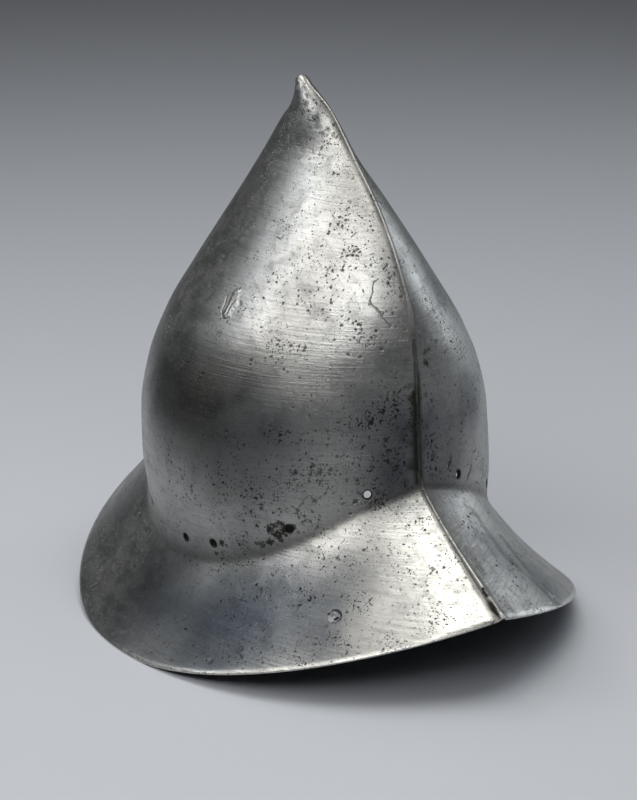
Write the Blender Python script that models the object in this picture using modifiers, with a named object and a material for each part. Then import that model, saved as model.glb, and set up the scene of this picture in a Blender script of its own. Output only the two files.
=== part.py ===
"""A pointed war hat of the morion family, raised from one sheet of steel: an almond-shaped skull with a crest
front and back, drawn up to a small solid stalk, and a wide brim that falls at the sides and sweeps up to a
prow at each end. The holes above the brim once held the rivets of the lining.

Metres, +Z up, +X towards the front. The origin is on the ground, under the middle of the brim.
"""

import collections
import math

import bmesh
import bpy
import numpy as np
from mathutils import Vector

# The sheet
PLATE = 0.0014
EDGE_SHARE = 0.7  # the upright face of the brim's edge, as a share of the sheet's thickness

# The brim, from above and from the side
BRIM_LENGTH = 0.348
BRIM_WIDTH = 0.282
BRIM_POINT = 0.37
FOOT_LENGTH = 0.036  # the level stretch of the edge at each side, on which the hat stands
PROW_HEIGHT = 0.047
PROW_POWER = 1.6
PROW_CUSP = 0.66
BRIM_FLARE_OUT = 0.34  # where the brim's hollow curve is pulled to, as shares of its reach and its fall
BRIM_FLARE_DOWN = 0.45

# The line where the skull meets the brim
JOIN_SIDE_HEIGHT = 0.047
JOIN_END_HEIGHT = 0.098
JOIN_POWER = 2.1
JOIN_CUSP = 0.31

# The skull
SKULL_LENGTH = 0.217
SKULL_WIDTH = 0.1975
SKULL_SETBACK = 0.0104
SECTION_BASE = 0.053
BASE_POINT = 0.155
TOP_POINT = 0.60
POINT_POWER = 1.5
TIP_HEIGHT = 0.305
TIP_SETBACK = 0.025
LEAN_POWER = 4.5
STALK_RADIUS = 0.004
STALK_SOLID_LENGTH = 0.022

# The raised crest, and the ridge that it becomes on the prows
CREST_HEIGHT = 0.0007
CREST_WIDTH = 0.0022
CREST_FADE = (0.90, 0.98)  # it dies out over this part of the skull's height
RIDGE_HEIGHT = 0.0018
RIDGE_WIDTH = 0.0060
RIDGE_POWER = 2.0

# The holes of the lining rivets, cut square to the sheet
LINING_HOLE = 0.0043
LINING_HOLE_ABOVE_JOIN = 0.0086
LINING_HOLE_TURNS = (17.8, 43, 71, 84, 112, 139, 166)  # degrees round from the front, on each side
CUTTER_LENGTH = 0.012
CUTTER_SIDES = 12

# The dent in the right of the brim, with a pinhole broken through it
DENT_WIDTH = 0.011
DENT_DEPTH = 0.0005
DENT_TURN = 32.5
DENT_SHARE = 0.696  # of the way from the skull to the rim
PINHOLE = 0.0016
PINHOLE_TURN = 32.6
PINHOLE_SHARE = 0.711
BALL_SUBDIVISIONS = 4

# How finely the surface is faceted
SIDE_COLUMNS = 26
SKULL_ROWS = 24
BRIM_ROWS = 7
SHARP_ANGLE = 35  # degrees between two faces, above which their edge is shaded sharp
MOST_CREST_SHARE = 0.5  # the crest stays narrower than this share of a section's width
MERGE = 1e-6
TINY = 1e-12  # stands in for the length of a vector that has none
NUDGE = 1e-4  # the step along a surface that measures its direction

STEEL_COLOUR = (0.30, 0.30, 0.31, 1.0)
STEEL_ROUGHNESS = 0.42

# The skull's cross-sections. Height is a share of the way from SECTION_BASE to the tip, front and back are
# shares of half the skull's length, and half_width is a share of half its width.
Section = collections.namedtuple("Section", "height front back half_width")
SECTIONS = (
    Section(0.00, 1.030, 0.980, 0.945),
    Section(0.06, 1.030, 1.000, 0.972),
    Section(0.15, 1.000, 1.030, 1.000),
    Section(0.25, 0.970, 1.055, 0.995),
    Section(0.35, 0.958, 1.058, 0.937),
    Section(0.45, 0.934, 1.004, 0.815),
    Section(0.55, 0.882, 0.880, 0.647),
    Section(0.65, 0.780, 0.722, 0.475),
    Section(0.75, 0.634, 0.538, 0.307),
    Section(0.85, 0.424, 0.338, 0.150),
    Section(0.90, 0.324, 0.210, 0.108),
    Section(0.94, 0.237, 0.084, 0.069),
    Section(0.97, 0.119, 0.037, 0.036),
    Section(0.985, 0.049, 0.045, 0.009),
    Section(1.00, 0.000, 0.000, 0.000),
)


def section(column, height):
    """One column of SECTIONS at these heights, on a smooth curve through the rows that doesn't overshoot."""
    x = np.array([row.height for row in SECTIONS])
    y = np.array([getattr(row, column) for row in SECTIONS])
    step = np.diff(x)
    grade = np.diff(y) / step
    slope = np.concatenate([grade[:1], np.zeros(len(x) - 2), grade[-1:]])
    for i in range(1, len(x) - 1):
        if grade[i - 1] * grade[i] > 0:
            slope[i] = 2 * grade[i - 1] * grade[i] / (grade[i - 1] + grade[i])
    k = np.clip(np.searchsorted(x, height) - 1, 0, len(x) - 2)
    t = (height - x[k]) / step[k]
    start = y[k] * (1 + 2 * t) * (1 - t) ** 2 + slope[k] * step[k] * t * (1 - t) ** 2
    end = y[k + 1] * t**2 * (3 - 2 * t) - slope[k + 1] * step[k] * t**2 * (1 - t)
    return start + end


def along(turn, point):
    """From 1 at the front to -1 at the back as turn goes from 0 to pi. A point of 0 is an ellipse's ends."""
    return (1 - point) * np.cos(turn) + point * (1 - 2 * turn / math.pi)


def almond(turn, front, back, half_width, point):
    """X and Y of a pointed oval, on the wearer's right side."""
    share = along(turn, point)
    return np.where(share > 0, front, back) * share, -half_width * np.sin(turn)


def join_height(turn):
    swept = np.abs(along(turn, JOIN_CUSP)) ** JOIN_POWER
    return JOIN_SIDE_HEIGHT + (JOIN_END_HEIGHT - JOIN_SIDE_HEIGHT) * swept


def skull_height_share(z):
    return np.clip((z - SECTION_BASE) / (TIP_HEIGHT - SECTION_BASE), 0, 1)


def stalk_radius(z):
    """The stalk's own radius, rounded off at the tip."""
    up = np.clip((z - (TIP_HEIGHT - STALK_RADIUS)) / STALK_RADIUS, 0, 1)
    return STALK_RADIUS * np.sqrt(1 - up**2)


def skull_point(turn, z):
    """A point of the skull's outer surface. The stalk swells each section as a rod inside it would."""
    share = skull_height_share(z)
    stalk = stalk_radius(z)
    front = np.hypot(SKULL_LENGTH / 2 * section("front", share), stalk)
    back = np.hypot(SKULL_LENGTH / 2 * section("back", share), stalk)
    half_width = np.hypot(SKULL_WIDTH / 2 * section("half_width", share), stalk)
    point = BASE_POINT + (TOP_POINT - BASE_POINT) * share**POINT_POWER
    x, y = almond(turn, front, back, half_width, point)
    lean = (TIP_SETBACK - SKULL_SETBACK) * share**LEAN_POWER
    return np.stack([x - SKULL_SETBACK - lean, y, z], axis=-1)


def rim_point(turn):
    """A point of the brim's upper edge, which is the sheet's edge above the ground at each side."""
    x, y = almond(turn, BRIM_LENGTH / 2, BRIM_LENGTH / 2, BRIM_WIDTH / 2, BRIM_POINT)
    level = FOOT_LENGTH / BRIM_LENGTH
    past_foot = np.maximum(np.abs(along(turn, PROW_CUSP)) - level, 0) / (1 - level)
    return np.stack([x, y, PROW_HEIGHT * past_foot**PROW_POWER + EDGE_SHARE * PLATE], axis=-1)


def brim_point(turn, share):
    """A point of the brim's outer surface, from the skull at a share of 0 to the rim at 1."""
    join = skull_point(turn, join_height(turn))
    rim = rim_point(turn)
    pull = join + (rim - join) * np.array([BRIM_FLARE_OUT, BRIM_FLARE_OUT, BRIM_FLARE_DOWN])
    return (1 - share) ** 2 * join + 2 * share * (1 - share) * pull + share**2 * rim


def row_turns(crest_half_width, row_half_width):
    """The columns of one row: the crest's top and foot at each end, and even steps between."""
    foot = math.asin(min(crest_half_width / row_half_width, MOST_CREST_SHARE))
    between = np.linspace(foot, math.pi - foot, SIDE_COLUMNS + 1)
    return np.concatenate([[0.0], between, [math.pi]])


def surface_rows():
    """The outer surface without its crest, from the tip to the rim, and the crest's height on each row."""
    rows, crest = [], []
    for step in range(SKULL_ROWS + 1):
        share = math.cos(step / SKULL_ROWS * math.pi / 2)
        ridge_z = join_height(0.0) + (TIP_HEIGHT - join_height(0.0)) * share
        up = float(skull_height_share(ridge_z))
        half_width = math.hypot(SKULL_WIDTH / 2 * float(section("half_width", up)), STALK_RADIUS)
        turn = row_turns(CREST_WIDTH / 2, half_width)
        z = join_height(turn) + (TIP_HEIGHT - join_height(turn)) * share
        rows.append(skull_point(turn, z))
        fade = np.clip((CREST_FADE[1] - up) / (CREST_FADE[1] - CREST_FADE[0]), 0, 1)
        crest.append(CREST_HEIGHT * fade)
    for step in range(1, BRIM_ROWS + 1):
        share = step / BRIM_ROWS
        swell = share**RIDGE_POWER
        half_width = (SKULL_WIDTH * (1 - share) + BRIM_WIDTH * share) / 2
        ridge_width = CREST_WIDTH + (RIDGE_WIDTH - CREST_WIDTH) * swell
        rows.append(brim_point(row_turns(ridge_width / 2, half_width), share))
        crest.append(CREST_HEIGHT + (RIDGE_HEIGHT - CREST_HEIGHT) * swell)
    return np.array(rows), np.array(crest)


def outward(rows):
    """Unit normals of a grid of points. At both ends of a row they are those of the flank beside the crest."""
    normal = np.cross(np.gradient(rows, axis=1), np.gradient(rows, axis=0))
    return normal / np.maximum(np.linalg.norm(normal, axis=-1, keepdims=True), TINY)


def in_middle_plane(normal):
    """For the crest's columns: the direction out of the surface within the plane of symmetry."""
    flat = normal * np.array([1.0, 0.0, 1.0])
    return flat / np.linalg.norm(flat, axis=-1, keepdims=True)


def with_crest(rows, normal, crest):
    """The rows with their two end columns lifted by the crest."""
    lifted = rows.copy()
    for end in (0, -1):
        lifted[1:, end] += in_middle_plane(normal[1:, end]) * crest[1:, None]
    return lifted


def inner_rows(rows, normal):
    """The surface moved in by the sheet's thickness, mitred under the crest."""
    inner = rows - normal * PLATE
    for end in (0, -1):
        out = in_middle_plane(normal[:, end])
        depth = PLATE / np.sum(out * normal[:, end], axis=-1, keepdims=True)
        inner[:, end] = rows[:, end] - out * depth
    return inner


def edge_rows(rim, normal):
    """The rim's two lower corners: straight under its upper edge, and level inwards to the inner surface."""
    face = EDGE_SHARE * PLATE
    below = rim - np.array([0, 0, face])
    level = normal * np.array([1.0, 1.0, 0.0])
    level[[0, -1], 1] = 0.0
    reach = np.linalg.norm(level, axis=-1, keepdims=True)
    inset = (PLATE - normal[:, 2:] * face) / np.sum(level * normal, axis=-1, keepdims=True) * reach
    return below, below - level / reach * inset


def add_grid(bm, rows):
    """Faces over a grid of points, with one normal side throughout."""
    verts = [[bm.verts.new(point) for point in row] for row in rows]
    for upper, lower in zip(verts, verts[1:]):
        for j in range(len(upper) - 1):
            bm.faces.new((upper[j], upper[j + 1], lower[j + 1], lower[j]))


def half_shell_mesh():
    """The right half of the wall, open at the plane of symmetry."""
    rows, crest = surface_rows()
    normal = outward(rows)
    outer = with_crest(rows, normal, crest)
    hollow_top = TIP_HEIGHT - STALK_SOLID_LENGTH
    first = int(np.argmax(rows[:, 0, 2] < hollow_top))
    inner = inner_rows(rows[first:-1], normal[first:-1])
    roof = inner[0].mean(axis=0) * np.array([1, 0, 1]) + np.array([0, 0, PLATE])
    below, inside = edge_rows(rows[-1], normal[-1])
    under = np.concatenate([[np.tile(roof, (rows.shape[1], 1))], inner, [inside]])
    bm = bmesh.new()
    add_grid(bm, outer)
    add_grid(bm, np.array([outer[-1], below, inside]))
    add_grid(bm, under[::-1])
    bmesh.ops.remove_doubles(bm, verts=bm.verts, dist=MERGE)
    mesh = bpy.data.meshes.new("helmet_shell")
    bm.to_mesh(mesh)
    bm.free()
    return mesh


def steel():
    material = bpy.data.materials.new("old_steel")
    material.use_nodes = True
    shader = material.node_tree.nodes["Principled BSDF"]
    shader.inputs["Base Color"].default_value = STEEL_COLOUR
    shader.inputs["Metallic"].default_value = 1.0
    shader.inputs["Roughness"].default_value = STEEL_ROUGHNESS
    return material


def collection(name):
    made = bpy.data.collections.new(name)
    bpy.context.scene.collection.children.link(made)
    return made


def cutter(name, bm, place, direction, cutters):
    """An object that only cuts, with its own +Z turned to a direction."""
    mesh = bpy.data.meshes.new(name)
    bm.to_mesh(mesh)
    bm.free()
    made = bpy.data.objects.new(name, mesh)
    made.location = place
    made.rotation_mode = "QUATERNION"
    made.rotation_quaternion = Vector(direction).to_track_quat("Z", "Y")
    made.hide_render = True
    made.display_type = "WIRE"
    cutters.objects.link(made)


def drill(name, diameter, place, direction, cutters):
    """A round hole through the sheet at a place of its outer surface."""
    bm = bmesh.new()
    bmesh.ops.create_cone(
        bm,
        cap_ends=True,
        segments=CUTTER_SIDES,
        radius1=diameter / 2,
        radius2=diameter / 2,
        depth=CUTTER_LENGTH,
    )
    cutter(name, bm, Vector(place) - Vector(direction) * PLATE / 2, direction, cutters)


def dish(name, width, depth, place, direction, cutters):
    """A shallow round hollow in the outer surface: the cap of a large ball."""
    radius = (width**2 / 4 + depth**2) / (2 * depth)
    bm = bmesh.new()
    bmesh.ops.create_icosphere(bm, subdivisions=BALL_SUBDIVISIONS, radius=radius)
    cutter(name, bm, Vector(place) + Vector(direction) * (radius - depth), direction, cutters)


def place_and_normal(surface, turn, share):
    """A point of a surface given by two numbers, and the direction out of it."""
    here = surface(turn, share)
    across = surface(turn + NUDGE, share) - here
    down = surface(turn, share + NUDGE) - here
    out = np.cross(across, down)
    return here, out / np.linalg.norm(out)


def skull_below(turn, drop):
    """The skull at a drop below the join, or above it where the drop is negative."""
    return skull_point(turn, join_height(turn) - drop)


def add_lining_holes(cutters):
    for side, mirror in (("right", 1), ("left", -1)):
        flip = np.array([1, mirror, 1])
        for number, degrees in enumerate(LINING_HOLE_TURNS, start=1):
            place, out = place_and_normal(skull_below, math.radians(degrees), -LINING_HOLE_ABOVE_JOIN)
            drill(f"lining_hole_{side}_{number}", LINING_HOLE, place * flip, out * flip, cutters)


def add_dent(cutters):
    dent, out = place_and_normal(brim_point, math.radians(DENT_TURN), DENT_SHARE)
    dish("brim_dent", DENT_WIDTH, DENT_DEPTH, dent, out, cutters)
    pinhole, out = place_and_normal(brim_point, math.radians(PINHOLE_TURN), PINHOLE_SHARE)
    drill("brim_pinhole", PINHOLE, pinhole, out, cutters)


def add_shell(parts, cutters):
    shell = bpy.data.objects.new("helmet_shell", half_shell_mesh())
    parts.objects.link(shell)
    shell.data.materials.append(steel())
    shell.data.shade_smooth()
    shell.data.set_sharp_from_angle(angle=math.radians(SHARP_ANGLE))
    halves = shell.modifiers.new("left_half", "MIRROR")
    halves.use_axis = (False, True, False)
    halves.merge_threshold = MERGE
    holes = shell.modifiers.new("holes", "BOOLEAN")
    holes.operation = "DIFFERENCE"
    holes.operand_type = "COLLECTION"
    holes.collection = cutters
    return shell


def main():
    for old in list(bpy.data.objects):
        bpy.data.objects.remove(old)
    parts = collection("pointed_war_hat")
    cutters = collection("cutters")
    add_lining_holes(cutters)
    add_dent(cutters)
    add_shell(parts, cutters)


main()
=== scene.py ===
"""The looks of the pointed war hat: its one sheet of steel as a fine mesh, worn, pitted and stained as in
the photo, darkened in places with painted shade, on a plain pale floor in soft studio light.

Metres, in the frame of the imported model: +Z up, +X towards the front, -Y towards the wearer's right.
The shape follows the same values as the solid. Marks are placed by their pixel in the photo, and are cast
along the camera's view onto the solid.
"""

import collections
import math

import bmesh
import bpy
import numpy as np
from mathutils import Matrix, Vector, noise
from mathutils.bvhtree import BVHTree
from mathutils.kdtree import KDTree


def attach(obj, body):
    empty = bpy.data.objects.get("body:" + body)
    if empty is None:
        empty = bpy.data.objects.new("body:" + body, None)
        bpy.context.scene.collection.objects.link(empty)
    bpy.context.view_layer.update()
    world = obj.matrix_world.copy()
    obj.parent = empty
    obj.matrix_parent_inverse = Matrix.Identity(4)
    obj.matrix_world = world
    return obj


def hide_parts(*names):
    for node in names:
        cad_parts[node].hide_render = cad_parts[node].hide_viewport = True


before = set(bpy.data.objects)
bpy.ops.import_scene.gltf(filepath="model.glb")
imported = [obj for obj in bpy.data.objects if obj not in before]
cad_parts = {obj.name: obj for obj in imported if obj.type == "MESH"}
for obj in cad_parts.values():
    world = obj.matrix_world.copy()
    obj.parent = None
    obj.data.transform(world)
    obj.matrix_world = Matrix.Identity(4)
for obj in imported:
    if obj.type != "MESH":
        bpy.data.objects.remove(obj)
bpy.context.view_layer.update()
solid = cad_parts["helmet_shell"].data
corners = [vert.co for vert in solid.vertices]
SOLID = BVHTree.FromPolygons(corners, [face.vertices for face in solid.polygons])

# The camera, in the photo's pixels
PHOTO_SIZE = (637, 800)
FOCAL_PIXELS = 2609.2
CAMERA_DISTANCE = 1.5
CAMERA_TURN = 32.69  # degrees round from the front, to the wearer's right
CAMERA_LIFT = 18.78
CAMERA_ROLL = 0.126
AIM = (-0.00515, 0.0, 0.11875)
AIM_SHIFT = -0.00129  # of the aim, along the picture's own right
SENSOR = 36.0  # millimetres
CLIP_START = 0.05

# The sheet and its edge
PLATE = 0.0014
EDGE_SHARE = 0.7  # of the sheet, its edge's height

# The brim
BRIM_LENGTH = 0.348
BRIM_WIDTH = 0.282
BRIM_POINT = 0.37
FOOT_LENGTH = 0.036
PROW_HEIGHT = 0.047
PROW_POWER = 1.6
PROW_CUSP = 0.66
BRIM_FLARE_OUT = 0.34
BRIM_FLARE_DOWN = 0.45

# The line where the skull meets the brim, and the hollow curve along it
JOIN_SIDE_HEIGHT = 0.047
JOIN_END_HEIGHT = 0.098
JOIN_POWER = 2.1
JOIN_CUSP = 0.31
FILLET_SIDE = 0.0062
FILLET_END = 0.0034

# The skull
SKULL_LENGTH = 0.217
SKULL_WIDTH = 0.1975
SKULL_SETBACK = 0.0104
SECTION_BASE = 0.053
BASE_POINT = 0.155
TOP_POINT = 0.60
POINT_POWER = 1.5
TIP_HEIGHT = 0.305
TIP_SETBACK = 0.025
LEAN_POWER = 4.5
STALK_RADIUS = 0.004
STALK_SOLID_LENGTH = 0.022

# The raised crest, and the ridge that it becomes on the prows
CREST_HEIGHT = 0.00045
CREST_WIDTH = 0.0022
CREST_FADE = (0.90, 0.98)
RIDGE_HEIGHT = 0.0015
RIDGE_WIDTH = 0.0050
RIDGE_POWER = 2.0

# The lining holes
LINING_HOLE = 0.0043
LINING_HOLE_ABOVE_JOIN = 0.0086
LINING_HOLE_TURNS = (17.8, 43, 71, 84, 112, 139, 166)
HOLE_SIDES = 28
CUTTER_LENGTH = 0.012

# The dent in the right of the brim, and the pinhole through it
DENT = (334.8, 616.5, 7.4)  # x, y and radius in the photo's pixels
DENT_STEEP_SIDE = (340.0, 613.5)
DENT_DEPTH = 0.0011
DENT_TILT = 0.7
PINHOLE = 0.0016
PINHOLE_TURN = 32.6
PINHOLE_SHARE = 0.711

# Noise: its strength, the size of its features in metres, and the seed of its pattern
Noise = collections.namedtuple("Noise", "strength size seed")
HAMMERING = Noise(0.00024, 0.034, 3)  # metres that the whole sheet is pushed in and out
RIPPLES = Noise(0.00005, 0.012, 5)
RAGGED = Noise(0.45, 0.0011, 7)  # in a mark's radii or half widths, at its edge
RUST_RELIEF = Noise(1.0, 0.0017, 11)
BROAD = Noise(0.22, 0.018, 13)
SEED_STEPS = (1, 2.7, -1.3)

# Hammering stops short of the level feet
LEVEL_FOOT = 0.004
LEVEL_FADE = 0.014

# Marks in the outer face alone. A reach is where a mark's soft edge ends, in its radii or half widths, and an
# edge is how wide that is. A wobble multiplies the noise that makes it uneven.
SPOT_LIMIT = 2
PIT_DEPTH = 0.17  # of the pit's radius
PIT_REACH = 1.2
RUST_DEPTH = 0.00022
RUST_EVEN = 0.7  # the share of the depth that is the same all over
RUST_EDGE = 0.4
LINE_SHARE = 0.75
LINE_REACH = 1.5
LINE_WOBBLE = 1.6
MOST_EATEN = 0.0005
HOLE_WEAR = 0.0009
HOLE_WEAR_DEPTH = 0.00025
SCAB = ((237, 293), (232.5, 304), (227.5, 313))  # along its middle, in pixels
SCAB_HALF_WIDTH = 5.5
SCAB_HEIGHT = 0.0004
SCAB_EDGE = 0.35
RIM_FADE_ROWS = 2.0

# What covers the steel, and the painted shade laid with it
GRIME_AND_SHADE_EDGE = 0.7
GRIME_AND_SHADE_WOBBLE = 1.5
BAND_EDGE = 0.7
BRIM_PIT_GRIME = 0.6
SKULL_PIT_GRIME = 0.78
PIT_GRIME_REACH = 1.15
PIT_GRIME_EDGE = 0.6
LINE_GRIME = 0.6
LINE_GRIME_WOBBLE = 2.0
LINE_GRIME_EDGE = 0.9
HOLE_GRIME = 0.0012
HOLE_GRIME_FADE = 0.0007
# Grime and painted shade in the crease along the join.
JOIN_GRIME_AND_SHADE = 0.45
JOIN_GRIME_AND_SHADE_ROWS = 6.0
RUST_COVER_EDGE = 0.5
RUST_COVER_WOBBLE = 1.6
CROWD_EDGE = 0.9
HAZE_WOBBLE = 0.4

# Grime, painted shade and wear along the crest; the near flank's stripe is painted shade alone.
# A stripe is its middle and half width, in half widths of the crest.
STRIPE_REACH = 1.3
CREST_STRIPE = (1.2, 1.2)
CREST_GRIME_AND_SHADE = 0.55
CREST_GRIME_AND_SHADE_MOST = 1.4
FLANK_STRIPE = (0.75, 0.6)
NEAR_FLANK_SHADE = 0.75
LOW_CREST_REACH = 1.5
LOW_CREST_GRIME_AND_SHADE = 0.9
CREST_WEAR_FOOT = 0.17
CREST_WEAR_FADE = 0.05
CREST_WEAR_WIDTH = 0.7
RIM_WEAR_ROWS = 1.2

# The mesh
CREST_COLUMNS = (0.0, 0.25, 0.5, 0.75, 1.0, 1.5, 2.5)  # in half widths of the crest
MOST_CREST_SHARE = 0.5
SIDE_COLUMNS = 84
SKULL_ROWS = 96
FILLET_ROWS = 6
BRIM_ROWS = 30
INNER_ROWS = 46
NUDGE = 1e-3
MERGE = 2e-6
MIRROR = np.array([1.0, -1.0, 1.0])
SHARP_ANGLE = 40
REFINE_SPREADS = (0.0042, 0.0022, 0.0009)  # how far round a mark each splitting of the faces goes
TOP_NORMAL_ROW = 0.5  # the tip takes its normal from here

# The skull's cross-sections, as in the solid
Section = collections.namedtuple("Section", "height front back half_width")
SECTIONS = [Section(*row) for row in (
    (0.00, 1.030, 0.980, 0.945),
    (0.06, 1.030, 1.000, 0.972),
    (0.15, 1.000, 1.030, 1.000),
    (0.25, 0.970, 1.055, 0.995),
    (0.35, 0.958, 1.058, 0.937),
    (0.45, 0.934, 1.004, 0.815),
    (0.55, 0.882, 0.880, 0.647),
    (0.65, 0.780, 0.722, 0.475),
    (0.75, 0.634, 0.538, 0.307),
    (0.85, 0.424, 0.338, 0.150),
    (0.90, 0.324, 0.210, 0.108),
    (0.94, 0.237, 0.084, 0.069),
    (0.97, 0.119, 0.037, 0.036),
    (0.985, 0.049, 0.045, 0.009),
    (1.00, 0.000, 0.000, 0.000),
)]

# Pits large enough to model, read from the photo: x, y and radius in its pixels
PITS = (
    (206.8, 465.5, 1.7), (218.6, 473.2, 1.9), (177.9, 482.2, 1.5), (195.1, 497.9, 1.6), (191.7, 487.9, 1.3),
    (223.2, 494.5, 1.3), (227.5, 494.8, 1.3), (245.6, 490.2, 1.6), (251.9, 488.5, 1.8), (271.5, 454.6, 1.3),
    (263.4, 493.7, 1.2), (277.8, 496.8, 1.6), (261.7, 508, 2.6), (250.8, 510.9, 2), (243.9, 520.6, 2.2),
    (239.9, 515.5, 1.5), (221.7, 513.2, 1.6), (211, 519.8, 1.4), (224.4, 517.2, 1.3), (213.5, 522.9, 1.3),
    (256, 543, 1.6), (243.9, 539.9, 1.6), (244.5, 551, 1.8), (329, 438.7, 2), (328, 444.8, 1.9),
    (300.9, 440.2, 1.8), (315.7, 431, 1.8), (337.1, 456, 2), (341.2, 456.2, 1.4), (347.3, 456, 1.6),
    (310.6, 466.7, 1.5), (313.7, 470.3, 1.3), (318.3, 468.3, 1.6), (321.3, 469.8, 2.1), (337.1, 470.8, 1.4),
    (340.2, 474.4, 1.6), (335.6, 474.9, 1.3), (309.6, 481.3, 1.6), (314.8, 500.9, 3), (320.8, 496.8, 1.4),
    (325.4, 493.3, 2), (297.9, 510, 2.6), (298.9, 516.7, 1.7), (302.4, 521.8, 1.6), (310.6, 521.3, 1.8),
    (319.3, 519.8, 2), (342.2, 498.4, 1.4), (342.2, 504, 1.3), (356, 480.5, 1.6), (359.1, 484.1, 1.7),
    (363.7, 485.1, 1.5), (365.2, 502.4, 1.5), (370.8, 502, 1.4), (350.4, 513.7, 2.2), (373.9, 467.2, 1.6),
    (368.8, 437.1, 1.6), (364.7, 445.3, 1.6), (349.4, 426.9, 1.7), (341.2, 419.8, 1.4), (343.8, 408.6, 2.2),
    (342.2, 395.8, 1.5), (332, 411.6, 1.4), (310.1, 417.8, 1.3), (292.8, 407.6, 1.9), (378.5, 401.4, 1.6),
    (405, 386.6, 2), (396.8, 468.3, 2.4), (386.1, 440.2, 2.8), (431.5, 400.4, 1.7), (423.9, 385.1, 1.7),
    (431, 393.3, 1.5), (428, 442.8, 1.6), (428, 453.5, 2.1), (435.6, 467.8, 1.8), (427.6, 349.6, 1.8),
    (423.8, 361, 2.6), (431.3, 340.3, 1.3), (455, 385, 1.5), (444, 377, 1.4), (461, 392, 1.3),
    (477.4, 364.9, 2.2), (462.1, 492.4, 1.9), (385.1, 506.5, 1.5), (401.9, 513.7, 1.3), (417.2, 501.4, 1.4),
    (409, 525.4, 1.5), (429, 516.7, 1.1), (290.5, 345.7, 2.3), (283.6, 369.8, 1.9), (271.5, 356.6, 1.7),
    (250.9, 360.1, 2.3), (250, 364.5, 1.8), (279.6, 341.1, 1.5), (246.3, 258.5, 1.6), (226.8, 321.6, 1.4),
    (289.9, 259.6, 1.2), (277.3, 277.4, 1.1), (188.3, 303.2, 1.3), (238.3, 311.8, 1.5), (245.1, 308.4, 1.3),
    (330.3, 224, 1.6), (334.4, 229.6, 1.2), (345.6, 219.9, 1.9), (342, 226.5, 1.7), (347.7, 229.6, 1.2),
    (359.4, 215.8, 1.4), (355.3, 220.4, 1.1), (373.2, 230.6, 1.7), (370.1, 221.4, 1.3), (343.6, 250, 1.7),
    (342, 253.5, 1.3), (347.7, 255.6, 1.7), (353.3, 255.1, 1.6), (356.8, 255.6, 1.6), (359.9, 252, 1.9),
    (358.4, 249, 1.4), (352.2, 245.9, 1.2), (348.7, 246.9, 1.2), (344.6, 244.9, 1.1), (371.1, 264.8, 1.7),
    (365.5, 266.3, 1.2), (342.6, 269.9, 2.1), (332.3, 270.9, 1.6), (327.8, 269.9, 1.1), (326, 275.5, 1.6),
    (317, 282.1, 1.3), (330.8, 287.2, 1.6), (318.6, 289.8, 1.2), (298.7, 290.3, 1.3), (298.2, 295.9, 1.3),
    (330.8, 303.1, 1.8), (307.9, 310.7, 1.8), (322.7, 309.7, 1.5), (330.3, 310.2, 1.2), (297.1, 304.1, 1.6),
    (350.2, 312.2, 1.2), (348.7, 319.4, 1.4), (341.5, 325.5, 1.7), (355.8, 321.4, 1.3), (353.3, 323.5, 1.3),
    (360.9, 325.5, 1.4), (355.8, 330.1, 1.4), (359.9, 333.7, 1.5), (376.2, 331.1, 1.9), (354.3, 338.3, 1.5),
    (350.2, 340.3, 1.2), (357.3, 340.8, 1.2), (368.6, 340.8, 1.4), (369.6, 344.9, 1.5), (374.2, 344.9, 1.3),
    (386.4, 342.3, 1.6), (381.3, 349, 2.4), (348.2, 354.6, 1.9), (360.4, 357.1, 2.1), (376.2, 337.2, 1.1),
    (396.6, 327, 1.3), (388.5, 283.7, 1.7), (394.1, 285.7, 1.2), (401.2, 297, 2.2), (405.3, 329.6, 1.8),
    (411.5, 336.2, 2.6), (401.2, 356.1, 1.5), (382.8, 531.8, 1.6), (388.4, 556.2, 1.6), (408.5, 556.2, 1.5),
    (429.1, 534, 1.4), (435.6, 545.9, 1.2), (432.3, 568.7, 2.2), (430.2, 574.1, 1.3), (413.9, 584.4, 1.4),
    (426.9, 585.5, 1.3), (428, 591.4, 1.3), (399.8, 589.8, 1.4), (429.1, 599, 1.2), (418.2, 604.4, 1.6),
    (407.4, 615.3, 1.6), (391.1, 587.1, 1.2), (393.3, 571.4, 1.1), (386.8, 576.2, 1.1), (363.5, 574.6, 1),
    (413.9, 628.3, 1.2), (430.2, 637, 1.1), (372.2, 634.3, 1.5), (337.5, 557.8, 1.5), (406.3, 562.7, 1.2),
    (440.1, 560.9, 1.1), (458.3, 561.9, 1.5), (465.9, 578.1, 1.7), (457.3, 580.1, 1.7), (439.1, 602.1, 1.7),
    (443.9, 619.3, 1.2), (482.2, 588.7, 2.4),
)

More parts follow.
